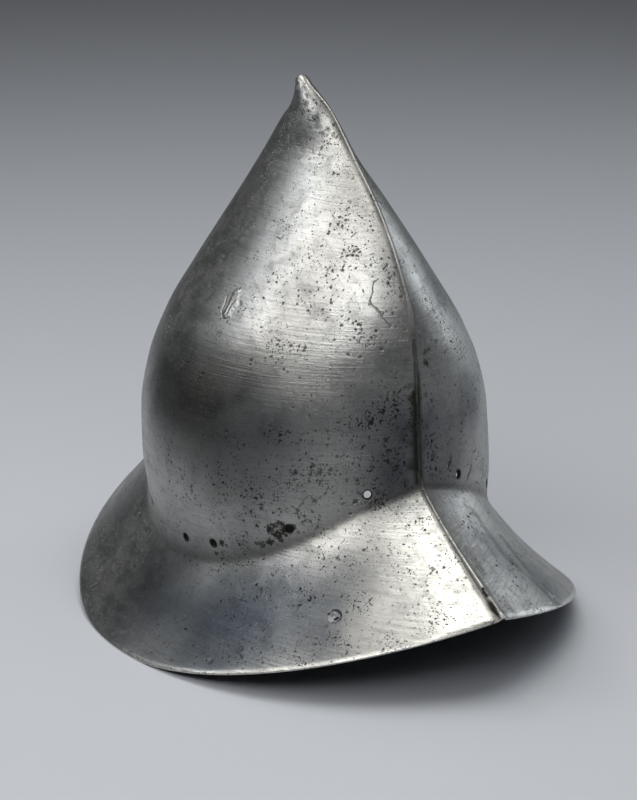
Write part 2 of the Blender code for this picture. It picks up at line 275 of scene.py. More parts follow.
# Cracks, streaks and scratches: half width in pixels, depth in metres, then points in pixels
LINES = (
    (1.1, 0.0003, (388, 264.8), (383.9, 269.4)),
    (0.7, 0.0002, (379.3, 278.6), (374.7, 281.6), (372.7, 286.7), (373.2, 291.8), (372.1, 295.9)),
    (0.8, 0.00022, (372.1, 295.9), (370.1, 300), (371.1, 304.1), (375.7, 308.2), (379.8, 312.2),
     (384.4, 312.8)),
    (0.7, 0.00018, (380.3, 312.8), (381.8, 316.3), (386.9, 322.4), (391, 326.5)),
    (0.8, 0.00022, (386.9, 322.4), (391, 326.5)),
    (1, 0.00025, (399.7, 287.8), (403.3, 295.9)),
    (0.9, 0.00025, (398.2, 339.8), (407.3, 339.8)),
    (0.7, 0.00015, (195.4, 537), (195.7, 549)),
    (0.6, 0.00012, (198, 538), (198.6, 549)),
    (0.9, 0.00018, (218.6, 498.3), (222, 503.4)),
    (0.9, 0.00015, (274.7, 491.4), (274.3, 500.5)),
    (1.2, 0.00025, (291.7, 506), (297.9, 509.6), (303, 500.9), (309.6, 495.3), (315.2, 500.9)),
    (1.1, 0.00022, (315.2, 500.9), (320.8, 496.8), (325.4, 493.3), (328.5, 487.1)),
    (1.9, 0.0003, (353, 504), (359, 499.5)),
    (1.3, 0.0002, (377, 489.5), (378.5, 494)),
    (1.7, 0.00025, (384.3, 491.5), (383.4, 499.5)),
    (1.9, 0.0003, (451.2, 456.5), (447.8, 468.5)),
    (1.4, 0.00025, (471.4, 464.6), (467, 479)),
    (1.2, 0.0002, (435, 432), (430, 436)),
    (0.9, 0.00018, (351.2, 236.7), (355.3, 233.2)),
    (0.8, 0.00014, (276.5, 237), (281, 239), (283, 236)),
    (0.8, 0.00012, (388.5, 506.5), (392.5, 512)),
    (0.8, 0.00018, (329.5, 630.5), (330, 634), (328.8, 637)),
    (0.9, 0.0002, (236, 300.4), (231.4, 305), (226.8, 314.1)),
    (0.9, 0.00022, (227.3, 295.8), (224.5, 305), (221.6, 311.8), (222.7, 316.4)),
)

# Bands of painted shade, with some grime, beside the crest, along the join and on the brim by its ridge:
# half width in pixels, strength, then points in pixels
SHADE_AND_GRIME_BANDS = (
    (5.5, 1, (414, 392), (414.5, 420), (415.5, 450), (416.5, 482)),
    (3, 0.9, (413, 340), (414.5, 365), (415, 392)),
    (4, 0.7, (420, 485.5), (408, 490.5), (396, 496), (380, 502), (365, 509)),
    (1.9, 1, (423.6, 490.5), (443.2, 524.5), (467.3, 562.5), (481.2, 587.5)),
    (4.2, 1.1, (482.5, 589), (490, 602), (497, 614)),
    (6, 0.4, (440, 512), (462, 545), (485, 573)),
    (7, 0.45, (470, 508), (505, 555), (548, 594)),
    (2.5, 0.5, (500, 535), (530, 572), (552, 594)),
)

# Rust, grime and painted shade, crowds of small pits, dull steel and painted shade, and their olive tint:
# x, y and radius in pixels, and strength
RUST = (
    (269.7, 529.2, 5.8, 1), (277.8, 535, 6.6, 1), (283.5, 531.5, 5.6, 1), (279.5, 522.5, 3.6, 0.9),
    (274.5, 525.5, 4.4, 0.9), (282.5, 524.5, 4.4, 1), (293.5, 527, 4.6, 0.9), (262, 544.2, 4.2, 0.9),
    (270.4, 542, 5, 1), (256.8, 543.2, 2.8, 0.7), (221.8, 543, 4.6, 0.8), (226, 545, 2.6, 0.7),
    (216.5, 553, 3.4, 0.7), (222.5, 552.5, 2.4, 0.6), (281.5, 539.5, 4, 0.9), (298, 532, 2.8, 0.6),
    (337.5, 557.8, 3, 0.5), (386.1, 440.2, 3.4, 0.5), (410, 398, 3, 0.6),
)
# Grime, with painted shade down the crest's near side and on the stalk.
GRIME_AND_SHADE = (
    (386.1, 440.2, 4.5, 0.8), (401.5, 436, 6.5, 0.7), (398, 432, 4, 0.6), (410, 397.5, 5, 0.8),
    (356, 502, 5, 0.8), (378.5, 493, 6, 0.6), (384, 496, 5.5, 0.8), (359.5, 493.3, 2.4, 0.8),
    (449.5, 462.5, 5.5, 0.7), (222, 543, 5.5, 0.7), (217, 553, 4.5, 0.6), (240, 288.3, 2.2, 1),
    (388, 253.1, 5.5, 0.35), (388, 309.2, 5.5, 0.3), (397.1, 279.6, 4, 0.35), (427.6, 349.6, 6, 0.6),
    (423.8, 361, 4.5, 0.8), (326.8, 625.5, 3, 0.6), (412, 340, 6, 0.6), (278, 530, 14, 0.35),
    (308, 95, 4, 0.7), (316, 118, 6, 0.7), (310, 128, 4, 0.5), (322, 133, 4, 0.6), (477.4, 364.9, 3.4, 0.8),
    (350.4, 513.7, 4, 0.5), (397, 512, 4, 0.3), (418, 482, 8, 0.7), (411, 385, 6, 0.7),
    (412.5, 405, 6, 0.8), (413, 425, 7, 0.85), (413, 445, 7.5, 0.9), (413, 465, 8, 0.9), (404, 485, 8, 0.6),
    (408, 352, 5, 0.6), (405, 335, 5, 0.6), (402, 318, 3.5, 0.5), (392, 247, 5, 0.3), (395, 275, 4, 0.4),
    (286, 531, 8, 0.8), (430, 478, 6, 0.5), (388, 496, 7, 0.4), (302, 112, 6, 0.7), (298, 125, 7, 0.6),
    (306, 104, 5, 0.7), (318, 126, 5, 0.5), (311, 138, 6, 0.4), (328, 128, 3, 0.6), (333, 135, 3, 0.6),
    (424, 352, 5, 0.9), (426, 363, 4.5, 1), (432, 373, 3.5, 0.8), (425, 395, 4.5, 0.8), (430, 411, 4, 0.8),
    (427, 426, 4.5, 0.8), (424, 441, 4, 0.7), (433, 455, 4.5, 0.8), (440, 470, 3.5, 0.7),
    (436, 340, 3.5, 0.7),
)
CROWDS = (
    (351, 250, 15, 0.4), (347, 226, 16, 0.6), (368, 222, 14, 0.6), (330, 275, 22, 0.5), (305, 300, 26, 0.5),
    (320, 310, 18, 0.5), (360, 328, 20, 0.6), (375, 345, 22, 0.6), (360, 355, 18, 0.7), (283, 345, 20, 0.4),
    (254, 360, 12, 1), (275, 362, 16, 0.7), (243, 309, 12, 0.7), (218, 475, 20, 0.9), (228, 490, 26, 0.8),
    (250, 492, 24, 0.8), (195, 490, 22, 0.6), (250, 514, 16, 1), (220, 516, 18, 0.7), (271, 440, 26, 0.6),
    (262, 506, 10, 0.9), (300, 440, 26, 0.6), (335, 432, 22, 0.9), (325, 468, 28, 1), (338, 473, 10, 1),
    (343, 410, 30, 0.8), (305, 512, 22, 1), (312, 522, 16, 0.9), (345, 500, 18, 0.8), (375, 495, 22, 0.9),
    (390, 455, 36, 0.9), (400, 400, 28, 0.9), (375, 420, 32, 0.9), (428, 350, 12, 1), (428, 375, 16, 1),
    (430, 400, 16, 1), (428, 450, 18, 1), (436, 470, 16, 0.9), (452, 388, 20, 0.7), (450, 430, 22, 0.6),
    (415, 575, 30, 0.2), (430, 570, 14, 0.3), (412, 520, 26, 0.3), (385, 555, 26, 0.2), (432, 600, 20, 0.2),
    (415, 610, 20, 0.2), (330, 560, 16, 0.3), (395, 508, 14, 0.4), (350, 465, 30, 0.9), (290, 480, 34, 0.8),
    (400, 350, 18, 0.6), (240, 540, 22, 0.7),
)
# Dull steel and painted shade: dark patches for dark reflections and shade, with some dark patina on the
# brim.
DULL_AND_SHADE = (
    (190, 395, 115, 0.93), (215, 430, 95, 0.6), (270, 440, 90, 0.6), (235, 480, 85, 0.55),
    (400, 430, 65, 0.8), (393, 480, 60, 0.8), (355, 425, 50, 0.3), (250, 385, 50, 0.4), (165, 410, 70, 0.7),
    (150, 590, 125, 0.85), (205, 630, 115, 0.94), (260, 612, 115, 0.95), (320, 600, 65, 0.72),
    (320, 640, 65, 0.65), (352, 575, 45, 0.5), (445, 430, 85, 0.6), (440, 480, 55, 0.4),
    (540, 580, 55, 0.6), (314, 120, 30, 0.5), (435, 290, 45, 0.6), (470, 400, 50, 0.6), (302, 128, 30, 0.4),
    (495, 550, 55, 0.5), (299, 92, 10, 0.8), (298, 104, 12, 0.7), (225, 375, 60, 0.6), (165, 375, 60, 0.6),
    (235, 645, 70, 0.5),
)
# The olive tint of the painted shade and dark patina.
OLIVE = (
    (185, 400, 130, 0.9), (215, 505, 90, 0.7), (120, 580, 90, 0.6), (250, 340, 90, 0.5),
)
# Shallow hollows, and nicks in the far rim: x, y and radius in pixels, and depth in metres
SHALLOWS = (
    (210, 660.6, 5, 0.00035), (552, 598, 12, 0.0005), (482.2, 587, 5, 0.0003), (239.4, 303.8, 5, 0.0002),
)
NICKS = (
    (552, 604, 3, 0.0006), (523.3, 611.5, 3, 0.0007), (512.8, 615, 3.4, 0.0007), (538, 607.5, 2.4, 0.0004),
)

# The steel's noise: size in metres, detail, roughness and distortion
CLOUDS = {
    "clouds": (0.060, 4.0, 0.6, 0.4),
    "groups": (0.016, 3.0, 0.6),
    "mottle": (0.011, 4.0, 0.65, 0.3),
    "grain": (0.0011, 3.0, 0.7),
    "uneven": (0.030, 2.0),
}
# The noise that makes its scratches: sizes in metres along three axes, and turns about them in degrees
SCRATCHES = {
    "fine": ((0.022, 0.022, 0.0006), (0, 0, 0)),
    "rings": ((0.030, 0.030, 0.0011), (0, 0, 0)),
    "strokes": ((0.045, 0.0026, 0.0026), (0, 35, 0)),
}

# Pits too small to model: spacing in metres, and share of the full size
SMALL_PITS = ((0.0026, 1.0), (0.0014, 1.0), (0.0009, 0.9))
SMALL_PIT_EDGE = (-0.05, 0.04)
WIDTH_POWER = 1.5
JITTER = 1.5
JITTER_SCALE = 1.6
JITTER_DETAIL = 3.0
CROWDED = 0.22
# Ramps: low and high of the field, and what they give
GROUPS = (0.45, 0.70, 0.20, 0.45)
PITS_INSIDE = (0.0, 1.0, 1.0, 0.4)
POLISH = (0.35, 0.70, 0.30, 0.42)

# What the fields add to the roughness, take off the metal, and raise in metres
ROUGHER = {"dull_and_shade": 0.05, "inside": 0.18, "pits": 0.25, "grime_and_shade": 0.20, "rust": 0.35, "wear": -0.06}
LESS_METAL = {"rust": 0.9, "pits": 0.7, "grime_and_shade": 0.6}
RELIEF = {
    "grain": 0.00006, "rings": 0.00013, "fine": 0.00006, "strokes": 0.00005, "mottle": 0.00012,
    "uneven": 0.0002, "pits": -0.00016,
}
BUMP_STRENGTH = 0.8
SPECULAR = 0.25
STEEL = bpy.data.materials.new("old_steel")
STEEL.use_nodes = True

STEEL_COLOUR = (0.46, 0.457, 0.438, 1)
CLOUDED_COLOUR = (0.385, 0.383, 0.370, 1)
MOTTLED_COLOUR = (0.19, 0.19, 0.185, 1)
# The bluish dark of the painted shade, and of dark patina.
SHADE_AND_PATINA_COLOUR = (0.025, 0.034, 0.050, 1)
# Olive tint of that painted shade and patina.
OLIVE_COLOUR = (0.042, 0.042, 0.032, 1)
STROKE_COLOUR = (0.12, 0.125, 0.13, 1)
SCRATCH_COLOUR = (0.12, 0.12, 0.115, 1)
# Painted glints: pale specks of grain that catch the light.
GLINT_SPECK_COLOUR = (0.36, 0.37, 0.34, 1)
INSIDE_COLOUR = (0.10, 0.085, 0.07, 1)
WORN_COLOUR = (0.60, 0.59, 0.56, 1)
# The near black of grime and of painted shade.
GRIME_AND_SHADE_COLOUR = (0.009, 0.0075, 0.005, 1)
STAIN_COLOUR = (0.007, 0.0065, 0.005, 1)
RUST_DARK = (0.005, 0.004, 0.003, 1)
RUST_BROWN = (0.040, 0.025, 0.010, 1)

# The studio: angles in degrees, the turn round from the front to the wearer's right
Light = collections.namedtuple("Light", "name turn lift size power colour")
LIGHTS = (
    Light("overhead", 5, 84, (0.9, 0.9), 13.2, (1.0, 0.985, 0.93)),
    Light("key", 78, 43, (2.2, 0.42), 12.4, (1.0, 0.985, 0.955)),
    Light("key_low", 38, 33, (1.2, 0.34), 2.5, (0.93, 0.965, 1.0)),
    Light("left_key", 127, 37, (0.5, 0.5), 1.6, (0.84, 0.92, 1.0)),
    Light("back_key", 175, 62, (0.6, 0.6), 5.0, (0.96, 0.98, 1.0)),
    Light("back_left", -97, 10, (0.55, 0.6), 2.2, (0.88, 0.94, 1.0)),
    Light("far_left", -60, 60, (0.8, 0.6), 2.6, (0.94, 0.97, 1.0)),
)
LIGHT_DISTANCE = 1.5
LIGHT_AIM = (0, 0, 0.13)
FLOOR_CORNERS = ((-6, -6, 0), (6, -6, 0), (6, 6, 0), (-6, 6, 0))
FLOOR_COLOUR = (0.46, 0.48, 0.52, 1)
FLOOR_ROUGHNESS = 0.7
WORLD_COLOUR = (0.5, 0.55, 0.65, 1)
WORLD_STRENGTH = 0.05


def section(column, height):
    """One column of SECTIONS at these heights, on a smooth curve through the rows that stays between them."""
    x = np.array([row.height for row in SECTIONS])
    y = np.array([getattr(row, column) for row in SECTIONS])
    step = np.diff(x)
    grade = np.diff(y) / step
    slope = np.concatenate([grade[:1], np.zeros(len(x) - 2), grade[-1:]])
    for i in range(1, len(x) - 1):
        if grade[i - 1] * grade[i] > 0:
            slope[i] = 2 * grade[i - 1] * grade[i] / (grade[i - 1] + grade[i])
    k = np.clip(np.searchsorted(x, height) - 1, 0, len(x) - 2)
    t = (height - x[k]) / step[k]
    start = y[k] * (1 + 2 * t) * (1 - t) ** 2 + slope[k] * step[k] * t * (1 - t) ** 2
    end = y[k + 1] * t**2 * (3 - 2 * t) - slope[k + 1] * step[k] * t**2 * (1 - t)
    return start + end


def along(turn, point):
    """From 1 at the front to -1 at the back as turn goes from 0 to pi."""
    return (1 - point) * np.cos(turn) + point * (1 - 2 * turn / math.pi)


def almond(turn, front, back, half_width, point):
    """X and Y of a pointed oval, on the wearer's right side."""
    share = along(turn, point)
    return np.where(share > 0, front, back) * share, -half_width * np.sin(turn)


def join_height(turn):
    swept = np.abs(along(turn, JOIN_CUSP)) ** JOIN_POWER
    return JOIN_SIDE_HEIGHT + (JOIN_END_HEIGHT - JOIN_SIDE_HEIGHT) * swept


def skull_height_share(z):
    return np.clip((z - SECTION_BASE) / (TIP_HEIGHT - SECTION_BASE), 0, 1)


def stalk_radius(z):
    up = np.clip((z - (TIP_HEIGHT - STALK_RADIUS)) / STALK_RADIUS, 0, 1)
    return STALK_RADIUS * np.sqrt(1 - up**2)


def skull_point(turn, z):
    """A point of the skull's outer surface."""
    share = skull_height_share(z)
    stalk = stalk_radius(z)
    front = np.hypot(SKULL_LENGTH / 2 * section("front", share), stalk)
    back = np.hypot(SKULL_LENGTH / 2 * section("back", share), stalk)
    half_width = np.hypot(SKULL_WIDTH / 2 * section("half_width", share), stalk)
    point = BASE_POINT + (TOP_POINT - BASE_POINT) * share**POINT_POWER
    x, y = almond(turn, front, back, half_width, point)
    lean = (TIP_SETBACK - SKULL_SETBACK) * share**LEAN_POWER
    return np.stack([x - SKULL_SETBACK - lean, y, z + 0 * x], axis=-1)


def rim_point(turn):
    """A point of the brim's upper edge."""
    x, y = almond(turn, BRIM_LENGTH / 2, BRIM_LENGTH / 2, BRIM_WIDTH / 2, BRIM_POINT)
    level = FOOT_LENGTH / BRIM_LENGTH
    past_foot = np.maximum(np.abs(along(turn, PROW_CUSP)) - level, 0) / (1 - level)
    return np.stack([x, y, PROW_HEIGHT * past_foot**PROW_POWER + EDGE_SHARE * PLATE], axis=-1)


def brim_point(turn, share):
    """A point of the brim's outer surface, from the skull at a share of 0 to the rim at 1."""
    share = np.asarray(share)[..., None]
    join = skull_point(turn, join_height(turn))
    rim = rim_point(turn)
    pull = join + (rim - join) * np.array([BRIM_FLARE_OUT, BRIM_FLARE_OUT, BRIM_FLARE_DOWN])
    return (1 - share) ** 2 * join + 2 * share * (1 - share) * pull + share**2 * rim


def fillet_length(turn):
    return FILLET_END + (FILLET_SIDE - FILLET_END) * np.sin(turn) ** 2


def fillet_share(turn):
    """How far out on the brim its curve into the skull begins."""
    join = skull_point(turn, join_height(turn))
    return fillet_length(turn) / np.linalg.norm(rim_point(turn) - join, axis=-1)


# The mesh is laid out flat first: a column coordinate p, 0 at the front crest and LAST_COLUMN at the back,
# signed by the side of the hat, and a row coordinate q, from the tip to the rim and back up inside.
CREST_STEPS = len(CREST_COLUMNS) - 1
LAST_COLUMN = 2 * CREST_STEPS + SIDE_COLUMNS
JOIN_ROW = SKULL_ROWS + FILLET_ROWS
RIM_ROW = JOIN_ROW + BRIM_ROWS
# The edge's own rows: shares of the way down its upright face and in along its level underside
EdgeRow = collections.namedtuple("EdgeRow", "down inward")
EDGE_ROWS = (
    EdgeRow(0.30, -0.10),
    EdgeRow(0.80, -0.10),
    EdgeRow(1.00, 0.12),
    EdgeRow(1.00, 0.85),
    EdgeRow(0.88, 1.00),
)
INNER_START = RIM_ROW + len(EDGE_ROWS) + 1
LAST_ROW = INNER_START + INNER_ROWS


def column_turn(p, crest_half_width, row_half_width):
    """The turn of a column, with the columns near the middle at set distances from it."""
    steps = np.arange(CREST_STEPS + 1)

    def near(columns):
        reach = crest_half_width * np.interp(columns, steps, CREST_COLUMNS)
        return np.arcsin(np.clip(reach / row_half_width, 0, MOST_CREST_SHARE))

    foot = near(np.full_like(p, CREST_STEPS))
    between = foot + (math.pi - 2 * foot) * (p - CREST_STEPS) / SIDE_COLUMNS
    back = math.pi - near(np.clip(LAST_COLUMN - p, 0, CREST_STEPS))
    turn = np.where(p < CREST_STEPS, near(np.clip(p, 0, CREST_STEPS)), between)
    return np.where(p > LAST_COLUMN - CREST_STEPS, back, turn)


def brim_share(q):
    return np.clip((q - JOIN_ROW) / BRIM_ROWS, 0, 1)


def row_rise(q):
    """How high a skull row is, from 1 at the tip to 0 at the skull's foot."""
    return np.cos(np.clip(q / SKULL_ROWS, 0, 1) * math.pi / 2)


def row_height(q):
    """The height of a skull row on the front crest."""
    return JOIN_END_HEIGHT + (TIP_HEIGHT - JOIN_END_HEIGHT) * row_rise(q)


def crest_swell(q):
    return brim_share(q) ** RIDGE_POWER


def crest_half_width(q):
    return (CREST_WIDTH + (RIDGE_WIDTH - CREST_WIDTH) * crest_swell(q)) / 2


def crest_height(q):
    up = skull_height_share(row_height(q))
    fade = np.clip((CREST_FADE[1] - up) / (CREST_FADE[1] - CREST_FADE[0]), 0, 1)
    return (CREST_HEIGHT + (RIDGE_HEIGHT - CREST_HEIGHT) * crest_swell(q)) * fade


def turn_at(p, q):
    up = skull_height_share(row_height(q))
    skull_half = np.hypot(SKULL_WIDTH / 2 * section("half_width", up), STALK_RADIUS)
    share = brim_share(q)
    half = np.where(q > JOIN_ROW, (SKULL_WIDTH * (1 - share) + BRIM_WIDTH * share) / 2, skull_half)
    return column_turn(p, crest_half_width(q), half)


def outer_surface(p, q):
    """The outer surface without its crest, on the right side, for p of 0 or more and q up to RIM_ROW."""
    turn = turn_at(p, q)
    top = join_height(turn) + fillet_length(turn)
    skull = skull_point(turn, top + (TIP_HEIGHT - top) * row_rise(q))
    begin = fillet_share(turn)
    brim = brim_point(turn, begin + (1 - begin) * brim_share(q))
    t = np.clip((q - SKULL_ROWS) / FILLET_ROWS, 0, 1)[..., None]
    join = skull_point(turn, join_height(turn))
    fillet = (1 - t) ** 2 * skull_point(turn, top) + 2 * t * (1 - t) * join + t**2 * brim_point(turn, begin)
    on_skull = (q <= SKULL_ROWS)[..., None]
    on_brim = (q >= JOIN_ROW)[..., None]
    return np.where(on_skull, skull, np.where(on_brim, brim, fillet))


def outward(p, q):
    """The unit normal of the outer surface."""
    p = np.clip(p, 2 * NUDGE, LAST_COLUMN - 2 * NUDGE)
    q = np.clip(q, TOP_NORMAL_ROW, RIM_ROW - 2 * NUDGE)
    across = outer_surface(p + NUDGE, q) - outer_surface(p - NUDGE, q)
    down = outer_surface(p, q + NUDGE) - outer_surface(p, q - NUDGE)
    normal = np.cross(across, down)
    return normal / np.linalg.norm(normal, axis=-1, keepdims=True)


def crest_place(p):
    """How far a column is from the middle, in half widths of the crest."""
    return np.interp(np.minimum(p, LAST_COLUMN - p), np.arange(CREST_STEPS + 1), CREST_COLUMNS)


def towards_middle(normal, place):
    """The normal turned into the plane of symmetry at the crest's top, and less beside it."""
    weight = np.clip(1 - place, 0, 1)[..., None]
    turned = normal * (1 - weight * np.array([0.0, 1.0, 0.0]))
    return turned / np.linalg.norm(turned, axis=-1, keepdims=True)


def with_crest(p, q):
    """The outer surface with its crest, and the normal of the surface beside it."""
    base = outer_surface(p, q)
    normal = outward(p, q)
    place = crest_place(p)
    bead = np.where(place < 1, np.cos(math.pi / 2 * np.clip(place, 0, 1)), 0) * crest_height(q)
    return base + towards_middle(normal, place) * bead[..., None], normal


def flat_layout():
    """The hat laid out flat as a grid of squares, with X its signed columns and Y its rows."""
    bm = bmesh.new()
    grid = []
    for q in range(LAST_ROW + 1):
        grid.append([bm.verts.new((u, q, 0)) for u in range(-LAST_COLUMN, LAST_COLUMN + 1)])
    for upper, lower in zip(grid, grid[1:]):
        for j in range(len(upper) - 1):
            bm.faces.new((upper[j], upper[j + 1], lower[j + 1], lower[j]))
    return bm


def inner_top_row():
    """The skull row under which the sheet is solid up to the tip."""
    up = (TIP_HEIGHT - STALK_SOLID_LENGTH - JOIN_END_HEIGHT) / (TIP_HEIGHT - JOIN_END_HEIGHT)
    return SKULL_ROWS * math.acos(up) / (math.pi / 2)


def row_outside(q):
    """The outer row that an inner row lies behind."""
    back_up = np.clip((q - INNER_START) / INNER_ROWS, 0, 1)
    return RIM_ROW * (1 - back_up) + inner_top_row() * back_up


def edge_and_inner(p, q, rim, rim_normal, blow):
    """Points past the rim: over the sheet's edge, then along the inner surface up to the roof."""
    face = EDGE_SHARE * PLATE
    level = rim_normal * np.array([1.0, 1.0, 0.0])
    level /= np.linalg.norm(level, axis=-1, keepdims=True)
    lean = np.sum(level * rim_normal, axis=-1)
    inset = (PLATE - rim_normal[:, 2] * face) / lean
    row = np.clip(q - RIM_ROW, 0, len(EDGE_ROWS) + 1)
    steps = np.arange(len(EDGE_ROWS) + 2)
    down = np.interp(row, steps, [0.0] + [step.down for step in EDGE_ROWS] + [1.0])
    inward = np.interp(row, steps, [0.0] + [step.inward for step in EDGE_ROWS] + [1.0])
    edge = rim - np.array([0, 0, 1.0]) * (face * down)[:, None] - level * (inset * inward)[:, None]
    base = outer_surface(p, row_outside(q))
    normal = outward(p, row_outside(q))
    out = towards_middle(normal, crest_place(p))
    depth = PLATE / np.sum(out * normal, axis=-1)
    inner = base - out * (depth - blow)[:, None]
    return np.where((q <= INNER_START)[:, None], edge, inner)


def direction(turn, lift):
    """The way out at these angles. turn is round from the front, to the wearer's right."""
    turn, lift = math.radians(turn), math.radians(lift)
    return Vector((math.cos(turn) * math.cos(lift), -math.sin(turn) * math.cos(lift), math.sin(lift)))


def camera_axes():
    """The camera's place and its right, up and backward directions."""
    turn, roll = math.radians(CAMERA_TURN), math.radians(CAMERA_ROLL)
    back = direction(CAMERA_TURN, CAMERA_LIFT)
    level = Vector((math.sin(turn), math.cos(turn), 0))
    rise = back.cross(level)
    right = level * math.cos(roll) + rise * math.sin(roll)
    up = rise * math.cos(roll) - level * math.sin(roll)
    place = Vector(AIM) + right * AIM_SHIFT + back * CAMERA_DISTANCE
    return place, right, up, back


def cast(x, y):
    """Where a pixel of the photo meets the solid, and the size of a pixel there, in metres."""
    place, right, up, back = camera_axes()
    across = (x - PHOTO_SIZE[0] / 2) / FOCAL_PIXELS
    down = (y - PHOTO_SIZE[1] / 2) / FOCAL_PIXELS
    ray = right * across - up * down - back
    hit = SOLID.ray_cast(place, ray.normalized())[0]
    return np.array(hit), (hit - place).length / ray.length / FOCAL_PIXELS


def spots(table):
    """Each row's place on the solid, its radius in metres and the rest of the row."""
    made = []
    for x, y, radius, *rest in table:
        place, pixel = cast(x, y)
        made.append((place, radius * pixel, *rest))
    return made


def line(half_width, pixels):
    """A line's half width in metres and its points on the solid."""
    places = [cast(x, y) for x, y in pixels]
    return half_width * places[0][1], [place for place, _ in places]


def away_from(points, place):
    return np.linalg.norm(points - place, axis=1)


def away_from_line(points, ends):
    nearest = np.full(len(points), np.inf)
    for start, end in zip(ends, ends[1:]):
        run = end - start
        share = np.clip((points - start) @ run / (run @ run), 0, 1)
        nearest = np.minimum(nearest, np.linalg.norm(points - start - share[:, None] * run, axis=1))
    return nearest


def across_line(points, half_width, pixels):
    """How far the points are from a line, in its half widths."""
    half_width, ends = line(half_width, pixels)
    return away_from_line(points, ends) / half_width


def soft(share):
    """A share from 0 to 1, with smooth ends."""
    share = np.clip(share, 0, 1)
    return share**2 * (3 - 2 * share)


def noise_field(points, kind):
    """Smooth noise, up to its strength either way."""
    offset = Vector([kind.seed * step for step in SEED_STEPS])
    return kind.strength * np.array([noise.noise(Vector(point) / kind.size + offset) for point in points])


def spots_near(points, table):
    """For each of a table's spots, the points near it, how far they are in radii, and the rest of the row."""
    for place, radius, *rest in spots(table):
        away = away_from(points, place) / radius
        near = away < SPOT_LIMIT
        yield near, away[near], radius, *rest


def coverage(points, table, edge=1.0, wobble=0.0):
    """The strongest of a table's spots at each point. edge is the share of the radius that is soft."""
    total = np.zeros(len(points))
    wobble = np.broadcast_to(wobble, len(points))
    for near, away, _, strength in spots_near(points, table):
        total[near] = np.maximum(total[near], strength * soft((1 - away - wobble[near]) / edge))
    return total


def haze(points, table, wobble):
    """A table's spots at each point, faded out over their whole radius and laid over one another."""
    clear = np.ones(len(points))
    for place, radius, strength in spots(table):
        clear *= 1 - strength * soft(1 - away_from(points, place) / radius - wobble)
    return 1 - clear


def bands(points, table, wobble):
    """The strongest of a table's bands at each point."""
    total = np.zeros(len(points))
    for half_width, strength, *pixels in table:
        reach = across_line(points, half_width, pixels) + wobble
        total = np.maximum(total, strength * soft((1 - reach) / BAND_EDGE))
    return total


def stripe(place, middle, half_width):
    """A soft stripe beside the crest."""
    return soft(STRIPE_REACH - np.abs(place - middle) / half_width)


def normal_of(surface, turn, height):
    """The unit normal of the skull or of the brim, up to its sign."""
    across = surface(turn + NUDGE, height) - surface(turn - NUDGE, height)
    down = surface(turn, height + NUDGE) - surface(turn, height - NUDGE)
    normal = np.cross(across, down)
    return normal / np.linalg.norm(normal)


def lining_holes():
    """The place and the normal of each lining hole, on both sides."""
    holes = []
    for turn in np.radians(LINING_HOLE_TURNS):
        height = join_height(turn) + LINING_HOLE_ABOVE_JOIN
        place, normal = skull_point(turn, height), normal_of(skull_point, turn, height)
        holes += [(place, normal), (place * MIRROR, normal * MIRROR)]
    return holes


def solid_points(flat):
    """The plain outer surface at these places of the flat layout, and which are on the outer face."""
    q = flat[:, 1]
    outer = q <= RIM_ROW
    points = outer_surface(np.abs(flat[:, 0]), np.where(outer, q, row_outside(q)))
    points[flat[:, 0] > 0, 1] *= -1
    return points, outer


def refine(bm):
    """Splits the faces near the marks into four, and again, down to the size that the marks need."""
    discs = spots([DENT, *PITS, *SHALLOWS, *RUST])
    discs += [(place, LINING_HOLE / 2 + HOLE_WEAR) for place, _ in lining_holes()]
    dent_place, dent_radius = discs[0]
    lines = [line(half_width, pixels) for half_width, _, *pixels in LINES] + [line(SCAB_HALF_WIDTH, SCAB)]
    for spread in REFINE_SPREADS:
        faces = [face for face in bm.faces if len(face.verts) == 4]
        points, outer = solid_points(np.array([face.calc_center_median()[:2] for face in faces]))
        chosen = np.zeros(len(faces), bool)
        for place, radius, *_ in discs:
            chosen |= away_from(points, place) < radius + spread
        for half_width, ends in lines:
            chosen |= away_from_line(points, ends) < half_width + spread
        chosen &= outer | (away_from(points, dent_place) < dent_radius + spread)
        edges = dict.fromkeys(edge for face, wanted in zip(faces, chosen) if wanted for edge in face.edges)
        bmesh.ops.subdivide_edges(bm, edges=list(edges), cuts=1, use_grid_fill=True)
    bmesh.ops.triangulate(bm, faces=[face for face in bm.faces if len(face.verts) > 4])


def blows(points):
    """How far the whole sheet is pushed out, by hammering, in the shallow hollows and in the dent."""
    waves = noise_field(points, HAMMERING) + noise_field(points, RIPPLES)
    moved = waves * soft((points[:, 2] - LEVEL_FOOT) / LEVEL_FADE) - coverage(points, SHALLOWS)
    place, radius = spots([DENT])[0]
    steep_side = cast(*DENT_STEEP_SIDE)[0] - place
    steep_side /= np.linalg.norm(steep_side)
    offset = (points - place) / radius
    bowl = np.sqrt(np.clip(1 - np.sum(offset**2, axis=1), 0, 1))
    return moved - DENT_DEPTH * bowl * (1 + DENT_TILT * (offset @ steep_side))


def surface_marks(points):
    """How far the outer face alone is raised, or eaten away."""
    wobble = noise_field(points, RAGGED)
    relief = RUST_EVEN + noise_field(points, RUST_RELIEF)
    eaten = RUST_DEPTH * coverage(points, RUST, RUST_EDGE, wobble) * relief
    for near, away, radius in spots_near(points, PITS):
        hollow = soft(PIT_REACH - away - wobble[near])
        eaten[near] = np.maximum(eaten[near], PIT_DEPTH * radius * hollow)
    for half_width, depth, *pixels in LINES:
        away = across_line(points, LINE_SHARE * half_width, pixels)
        eaten = np.maximum(eaten, depth * soft(LINE_REACH - away - LINE_WOBBLE * wobble))
    for place, _ in lining_holes():
        worn = 1 - (away_from(points, place) - LINING_HOLE / 2) / HOLE_WEAR
        eaten = np.maximum(eaten, HOLE_WEAR_DEPTH * np.clip(worn, 0, 1) ** 2)
    away = across_line(points, SCAB_HALF_WIDTH, SCAB)
    raised = SCAB_HEIGHT * soft((1 - away - wobble) / SCAB_EDGE)
    return raised - np.clip(eaten, 0, MOST_EATEN)


